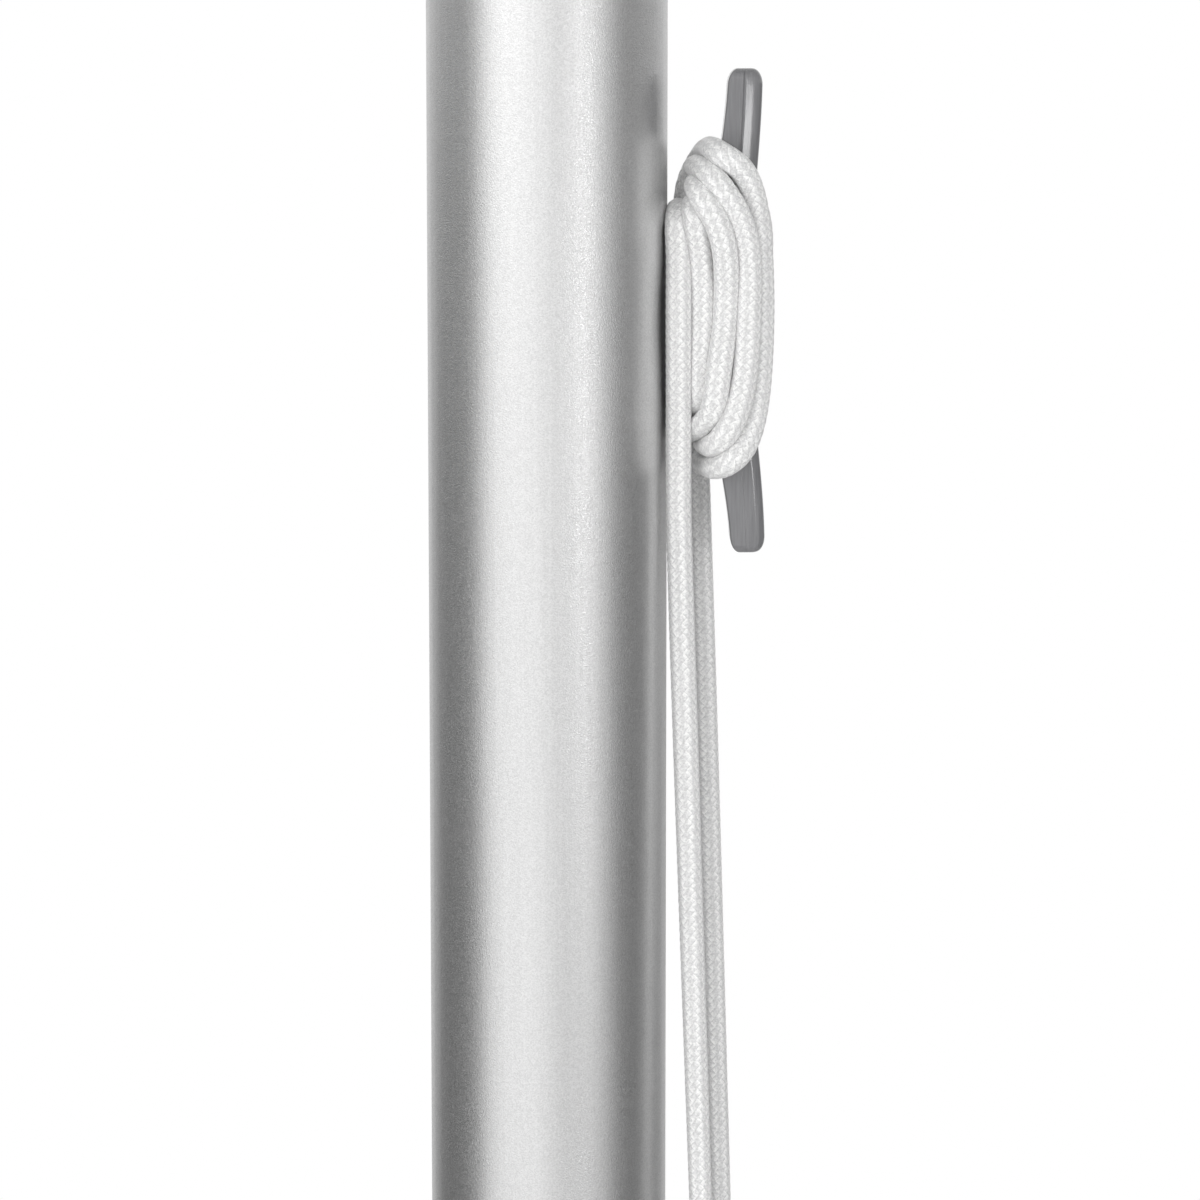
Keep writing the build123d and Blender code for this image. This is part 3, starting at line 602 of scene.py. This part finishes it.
def anodisedAluminium():
    # Satin anodised extrusion: sparkling etched grain with faint lines along the tube. Its
    # pits are 0.05 mm; grains and pits are drawn some 0.4 mm wide, so that they show.
    values = {"Base Color": linearColour("#DCDCDC"), "Metallic": 1.0, "Roughness": 0.36}
    material, tree, shader = newMaterial("anodisedAluminium", values)
    spot = addNode(tree, "TexCoord", output="Object")
    grains = addNode(tree, "TexVoronoi", {"Vector": spot, "Scale": tube["grains"] / mm}, output=1)
    grain = addNode(tree, "SeparateXYZ", {0: grains})
    drawn = addNode(tree, "Mapping", {"Vector": spot, "Scale": (1.0, 1.0, tube["lineStretch"])})
    lines = addNode(tree, "TexNoise", {"Vector": drawn, "Scale": tube["lines"] / mm, "Detail": 4.0})
    faint = addNode(tree, "Math", {0: lines, 1: tube["lineShare"]}, operation="MULTIPLY")
    shaded = {0: grain, 1: tube["grainShare"], 2: faint}
    shade = addNode(tree, "Math", shaded, operation="MULTIPLY_ADD")
    colour = addNode(tree, "ValToRGB", {0: shade}, stops=tube["shades"])
    # A hairline where the upper tube stands on the lower one
    level = addNode(tree, "SeparateXYZ", {0: spot}, output=2)
    joint = {0: level, 1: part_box("pole_lower")[1][2], 2: tube["jointHalfWidth"] * mm}
    seam = addNode(tree, "Math", joint, operation="COMPARE")
    darkened = {0: seam, 6: colour, 7: linearColour(tube["jointColour"])}
    seamed = addNode(tree, "Mix", darkened, output=2, data_type="RGBA")
    tree.links.new(seamed, shader.inputs["Base Color"])
    smoothest, roughest = tube["roughness"]
    rough = addNode(tree, "MapRange", {0: grain.node.outputs[1], 3: smoothest, 4: roughest})
    tree.links.new(rough, shader.inputs["Roughness"])
    pits = addNode(tree, "TexNoise", {"Vector": spot, "Scale": tube["pits"] / mm, "Detail": 1.0})
    bump = addNode(tree, "Bump", {"Height": pits, "Distance": tube["pitDepth"] * mm, "Strength": 1.0})
    tree.links.new(bump, shader.inputs["Normal"])
    return material


def galvanisedSteel():
    # Hot-dip galvanised steel: zinc crystals some 8 mm across, each with its own grey
    values = {"Base Color": linearColour("#B4B8BB"), "Metallic": 1.0, "Roughness": 0.45}
    material, tree, shader = newMaterial("galvanisedSteel", values)
    spot = addNode(tree, "TexCoord", output="Object")
    bent = addNode(tree, "TexNoise", {"Vector": spot, "Scale": 0.16 / mm}, output=1)
    pushed = addNode(tree, "Mix", {0: 0.006, 6: spot, 7: bent}, output=2, data_type="RGBA")
    crystals = addNode(tree, "TexVoronoi", {"Vector": pushed, "Scale": 0.125 / mm}, output=1)
    grey = addNode(tree, "SeparateXYZ", {0: crystals})
    shades = [(0.0, "#9DA2A6"), (0.5, "#B4B8BB"), (1.0, "#C9CCCE")]
    colour = addNode(tree, "ValToRGB", {0: grey}, stops=shades)
    tree.links.new(colour, shader.inputs["Base Color"])
    rough = addNode(tree, "MapRange", {0: grey.node.outputs[1], 3: 0.34, 4: 0.58})
    tree.links.new(rough, shader.inputs["Roughness"])
    skin = addNode(tree, "TexNoise", {"Vector": spot, "Scale": 0.42 / mm, "Detail": 4.0})
    bump = addNode(tree, "Bump", {"Height": skin, "Distance": 0.25 * mm, "Strength": 0.3})
    tree.links.new(bump, shader.inputs["Normal"])
    return material


def stainlessSteel():
    # Polished stainless steel: clean reflections, with handling haze in patches of 4 mm
    values = {"Base Color": linearColour("#C6C7C8"), "Metallic": 1.0, "Roughness": 0.2}
    material, tree, shader = newMaterial("stainlessSteel", values)
    spot = addNode(tree, "TexCoord", output="Object")
    haze = addNode(tree, "TexNoise", {"Vector": spot, "Scale": 0.26 / mm, "Detail": 5.0})
    rough = addNode(tree, "MapRange", {0: haze, 1: 0.3, 2: 0.7, 3: 0.14, 4: 0.3})
    tree.links.new(rough, shader.inputs["Roughness"])
    bump = addNode(tree, "Bump", {"Height": haze, "Distance": 0.03 * mm, "Strength": 0.3})
    tree.links.new(bump, shader.inputs["Normal"])
    return material


def mouldedRubber():
    # Moulded black rubber: matt, with a cloudy grey bloom over a skin grained at 0.7 mm
    values = {"Base Color": linearColour("#262728"), "Roughness": 0.7}
    material, tree, shader = newMaterial("mouldedRubber", values)
    spot = addNode(tree, "TexCoord", output="Object")
    bloom = addNode(tree, "TexNoise", {"Vector": spot, "Scale": 0.07 / mm, "Detail": 6.0})
    colour = addNode(tree, "ValToRGB", {0: bloom}, stops=[(0.35, "#202122"), (0.8, "#3A3B3C")])
    tree.links.new(colour, shader.inputs["Base Color"])
    grain = addNode(tree, "TexNoise", {"Vector": spot, "Scale": 1.5 / mm, "Detail": 2.0})
    bump = addNode(tree, "Bump", {"Height": grain, "Distance": 0.1 * mm, "Strength": 0.5})
    tree.links.new(bump, shader.inputs["Normal"])
    return material


def castAluminium():
    # Sand-cast aluminium, tumbled: satin, with pebbles of 1 mm, a sand mould's grain, in its skin
    values = {"Base Color": linearColour("#C9CACA"), "Metallic": 1.0, "Roughness": 0.42}
    material, tree, shader = newMaterial("castAluminium", values)
    spot = addNode(tree, "TexCoord", output="Object")
    pebbles = addNode(tree, "TexVoronoi", {"Vector": spot, "Scale": 0.9 / mm})
    clouds = addNode(tree, "TexNoise", {"Vector": spot, "Scale": 0.04 / mm, "Detail": 5.0})
    colour = addNode(tree, "ValToRGB", {0: clouds}, stops=[(0.3, "#BDBEBE"), (0.75, "#D2D3D3")])
    tree.links.new(colour, shader.inputs["Base Color"])
    rough = addNode(tree, "MapRange", {0: clouds, 1: 0.3, 2: 0.7, 3: 0.36, 4: 0.5})
    tree.links.new(rough, shader.inputs["Roughness"])
    bump = addNode(tree, "Bump", {"Height": pebbles, "Distance": 0.1 * mm, "Strength": 0.35})
    tree.links.new(bump, shader.inputs["Normal"])
    return material


def turnedNylon():
    # Turned nylon: milky, with the tool's rings round the pin. They are 0.2 mm apart and are
    # drawn at 1 mm, so that they show.
    values = {"Base Color": linearColour("#D9D6CC"), "Roughness": 0.4, "Subsurface Weight": 0.15}
    values["Subsurface Radius"] = (0.002, 0.002, 0.0015)
    material, tree, shader = newMaterial("turnedNylon", values)
    spot = addNode(tree, "TexCoord", output="Object")
    centred = addNode(tree, "Mapping", {"Vector": spot, "Location": (0.0, 0.0, -sheave["height"] * mm)})
    rings = addNode(tree, "TexWave", {"Vector": centred, "Scale": 0.32 / mm, "Distortion": 0.4}, output=1)
    rings.node.wave_type = "RINGS"
    rings.node.rings_direction = "X"
    colour = addNode(tree, "ValToRGB", {0: rings}, stops=[(0.1, "#D0CDC2"), (0.9, "#DFDCD3")])
    tree.links.new(colour, shader.inputs["Base Color"])
    bump = addNode(tree, "Bump", {"Height": rings, "Distance": 0.05 * mm, "Strength": 0.4})
    tree.links.new(bump, shader.inputs["Normal"])
    rough = addNode(tree, "MapRange", {0: rings, 3: 0.34, 4: 0.46})
    tree.links.new(rough, shader.inputs["Roughness"])
    return material


def spunAluminium():
    # Spun and anodised aluminium: bright, with level rings 1 to 2 mm apart from the spinning
    values = {"Base Color": linearColour("#DEDEDD"), "Metallic": 1.0, "Roughness": 0.24}
    material, tree, shader = newMaterial("spunAluminium", values)
    spot = addNode(tree, "TexCoord", output="Object")
    drawn = addNode(tree, "Mapping", {"Vector": spot, "Scale": (0.02, 0.02, 1.0)})
    rings = addNode(tree, "TexNoise", {"Vector": drawn, "Scale": 0.7 / mm, "Detail": 5.0})
    rough = addNode(tree, "MapRange", {0: rings, 1: 0.3, 2: 0.7, 3: 0.18, 4: 0.32})
    tree.links.new(rough, shader.inputs["Roughness"])
    bump = addNode(tree, "Bump", {"Height": rings, "Distance": 0.03 * mm, "Strength": 0.3})
    tree.links.new(bump, shader.inputs["Normal"])
    return material


def numbered(stem, count):
    return [f"{stem}_{number}" for number in range(1, count + 1)]


zinc = galvanisedSteel()
cast = castAluminium()
bright = stainlessSteel()
dress(anodisedAluminium(), "pole_lower", "pole_upper")
dress(zinc, "base_plate", "base_socket", *numbered("base_gusset", 4))
dress(mouldedRubber(), "socket_collar")
dress(cast, "truck_cap", "truck_fork", "finial_neck", "splice_sleeve")
dress(bright, *numbered("clamp_screw", 3), *numbered("splice_screw", 4))
dress(bright, *numbered("truck_set_screw", 3))
dress(bright, "cleat_screw_lower", "cleat_screw_upper", "sheave_pin")
dress(bright, "snap_hook_upper", "snap_hook_lower", "snap_gate_upper", "snap_gate_lower")
dress(turnedNylon(), "sheave")
dress(spunAluminium(), "finial_ball")
print("materials made")


# Weld beads of the base, in millimetres: down both sides of each gusset and out along its
# foot, and round the socket's foot between the gussets
weld = dict(
    radius=3.3,
    ripple=0.09,
    pitch=2.7,
    step=0.7,
    roundSteps=14,
    endLength=4.0,
    endStart=0.05,  # share of that length at which a bead starts, so that it has a blunt end
    cornerRun=9.0,  # a bead turns the corner within this length each way
    ringEnds=(5.5, 84.5),  # degrees from a gusset
    ringPoints=14,
)
base = dict(
    plateTop=12.0,
    socketRadius=43.0,
    gussetTop=122.0,
    gussetReach=93.0,
    gussetHalf=4.0,
    gussets=4,
)


def beadSurface(name, points, reference):
    # Round section, radius = weld radius x end x (1 + ripple x |sin(pi x run / pitch)|);
    # end = quarter circle over the first and last few millimetres
    path, run = splineThrough(points, weld["step"])
    near = np.clip(np.minimum(run, run[-1] - run) / weld["endLength"] + weld["endStart"], 0, 1)
    end = np.sqrt(1 - (1 - near) ** 2)
    radius = weld["radius"] * end * (1 + weld["ripple"] * np.abs(np.sin(np.pi * run / weld["pitch"])))
    angle = np.arange(weld["roundSteps"]) / weld["roundSteps"] * 2 * np.pi
    section = radius[:, None, None] * np.stack([np.cos(angle), np.sin(angle)], axis=-1)
    return carriedSection(name, path, section, zinc, reference)


def baseBeads():
    # The runs of every quarter, as one piece
    runs = []
    foot, rim, corner = base["plateTop"], base["socketRadius"], weld["cornerRun"]
    for quarter in range(base["gussets"]):
        turn = quarter * 2 * math.pi / base["gussets"]
        outward = np.array([math.cos(turn), math.sin(turn), 0])
        aside = np.array([-math.sin(turn), math.cos(turn), 0])
        for side in (-1, 1):
            joint = [(rim, base["gussetTop"]), (rim, foot + corner), (rim, foot), (rim + corner, foot)]
            joint += [(base["gussetReach"], foot)]
            edge = aside * side * base["gussetHalf"]
            points = [outward * reach + edge + np.array([0, 0, height]) for reach, height in joint]
            runs.append(beadSurface("weldRun", points, aside))
        arc = turn + np.radians(np.linspace(*weld["ringEnds"], weld["ringPoints"]))
        ring = np.stack([rim * np.cos(arc), rim * np.sin(arc), np.full(len(arc), foot)], axis=-1)
        runs.append(beadSurface("weldRun", ring, (0, 0, 1)))
    whole = bmesh.new()
    for run in runs:
        whole.from_mesh(run.data)
        bpy.data.meshes.remove(run.data)
    mesh = bpy.data.meshes.new("weldBeads")
    whole.to_mesh(mesh)
    whole.free()
    mesh.materials.append(zinc)
    piece = bpy.data.objects.new("weldBeads", mesh)
    bpy.context.collection.objects.link(piece)
    return piece


place(baseBeads(), "galvanised")
print("weld beads made")


# Studio: a broad softbox on each side of the camera and another above each for the pole's
# head, a low one on the left for its foot, and a small strip on the right that draws glints
# on the cleat. Each stands at a bearing and distance from the pole, in degrees and metres,
# and its radiance gives its power.
lamps = dict(
    left=dict(bearing=-29.8, distance=3.2, height=1.8, size=(4.5, 3.6), radiance=0.97, aimHeight=1.8),
    right=dict(bearing=33.8, distance=3.2, height=1.6, size=(3.55, 2.4), radiance=0.66, aimHeight=1.6),
    low=dict(bearing=-41.0, distance=2.0, height=0.25, size=(1.5, 1.5), radiance=1.05, aimHeight=1.35),
    strip=dict(bearing=35.0, distance=2.2, height=1.38, size=(0.28, 0.2), radiance=10.5, aimHeight=1.3),
    highLeft=dict(bearing=-30.5, distance=3.4, height=5.4, size=(4.2, 3.0), radiance=0.8, aimHeight=5.4),
    highRight=dict(bearing=35.5, distance=3.4, height=5.0, size=(3.0, 3.6), radiance=0.6, aimHeight=5.0),
)
for lampName, lamp in lamps.items():
    lampData = bpy.data.lights.new("softbox" + lampName[0].upper() + lampName[1:], "AREA")
    lampData.shape = "RECTANGLE"
    lampData.size, lampData.size_y = lamp["size"]
    lampData.energy = lamp["radiance"] * math.pi * lampData.size * lampData.size_y
    lampObject = bpy.data.objects.new(lampData.name, lampData)
    bearing = math.radians(lamp["bearing"])
    stand = Vector((math.sin(bearing), math.cos(bearing), 0.0)) * lamp["distance"]
    stand.z = lamp["height"]
    facing = (Vector((0.0, 0.0, lamp["aimHeight"])) - stand).to_track_quat("-Z", "Y")
    lampObject.matrix_world = Matrix.Translation(stand) @ facing.to_matrix().to_4x4()
    bpy.context.collection.objects.link(lampObject)

# White backdrop behind the pole, towards -Y, and a dim room elsewhere, lighter overhead.
# The camera and rays through a piece see plain white; metal mirrors what stands there.
room = dict(
    diffuse=0.51,  # what the dim room gives matt surfaces
    dim=0.135,  # and what metal mirrors of it
    backdrop=1.0,
    overhead=0.6,
    backdropEdge=(-0.6, -0.97),  # Y of a direction, from the backdrop's edge to its full white
    overheadEdge=(0.6, 0.95),  # and Z, for what is overhead
)
world = bpy.data.worlds.new("studio")
bpy.context.scene.world = world
world.use_nodes = True
worldTree = world.node_tree
worldTree.nodes.clear()
cameraRay = addNode(worldTree, "LightPath", output="Is Camera Ray")
rays = cameraRay.node.outputs
heading = addNode(worldTree, "TexCoord", output="Generated")
depthwise = addNode(worldTree, "SeparateXYZ", {0: heading}, output=1)
upward = depthwise.node.outputs[2]
dimness = {0: rays["Is Diffuse Ray"], 1: room["diffuse"] - room["dim"], 2: room["dim"]}
around = addNode(worldTree, "Math", dimness, operation="MULTIPLY_ADD")
edge, full = room["backdropEdge"]
backward = {0: depthwise, 1: edge, 2: full, 3: around, 4: room["backdrop"]}
behind = addNode(worldTree, "MapRange", backward)
through = addNode(worldTree, "Math", {0: cameraRay, 1: rays["Is Transmission Ray"]}, operation="MAXIMUM")
edge, full = room["overheadEdge"]
above = addNode(worldTree, "MapRange", {0: upward, 1: edge, 2: full, 3: around, 4: room["overhead"]})
lit = addNode(worldTree, "Math", {0: above, 1: behind}, operation="MAXIMUM")
strength = addNode(worldTree, "Math", {0: through, 1: lit}, operation="MAXIMUM")
light = addNode(worldTree, "Background", {"Color": (1, 1, 1, 1), "Strength": strength})
addNode(worldTree, "OutputWorld", {0: light})

# Floor, in metres: how far from the pole its white begins and is full, and the Y at which
# metal begins to mirror that white and mirrors it in full
floorLook = dict(size=60.0, colour="#EDEDED", fade=(0.25, 1.9), mirrored=(-0.5, -2.5))


def paintedFloor():
    # Matt paint that keeps the shadow near the pole and runs out into plain white. Metal
    # mirrors that white where it lies before the backdrop; the room's side stays as it is lit.
    material, tree, shader = newMaterial("paintedFloor", {"Roughness": 0.9})
    shader.inputs["Base Color"].default_value = linearColour(floorLook["colour"])
    spot = addNode(tree, "TexCoord", output="Object")
    away = addNode(tree, "VectorMath", {0: spot}, output="Value", operation="LENGTH")
    near, far = floorLook["fade"]
    fade = addNode(tree, "MapRange", {0: away, 1: near, 2: far}, interpolation_type="SMOOTHSTEP")
    fromCamera = addNode(tree, "LightPath", output="Is Camera Ray")
    rays = fromCamera.node.outputs
    depthwise = addNode(tree, "SeparateXYZ", {0: spot}, output=1)
    near, far = floorLook["mirrored"]
    backward = addNode(tree, "MapRange", {0: depthwise, 1: near, 2: far})
    bounces = {0: backward, 1: rays["Is Glossy Ray"], 2: rays["Is Transmission Ray"]}
    bounced = addNode(tree, "Math", bounces, operation="MULTIPLY_ADD")
    seen = addNode(tree, "Math", {0: fromCamera, 1: bounced}, operation="MAXIMUM")
    share = addNode(tree, "Math", {0: fade, 1: seen}, operation="MULTIPLY")
    white = addNode(tree, "Emission", {"Color": (1, 1, 1, 1), "Strength": 1.0})
    both = addNode(tree, "MixShader", {0: share, 1: shader.outputs[0], 2: white})
    tree.links.new(both, tree.nodes["Material Output"].inputs[0])
    return material


corners = np.array([(-1, -1, 0), (1, -1, 0), (1, 1, 0), (-1, 1, 0)], float) * floorLook["size"] / 2
floor = addSurface("studioFloor", corners, np.array([[0, 1, 2, 3]]), paintedFloor())
print("studio lit")
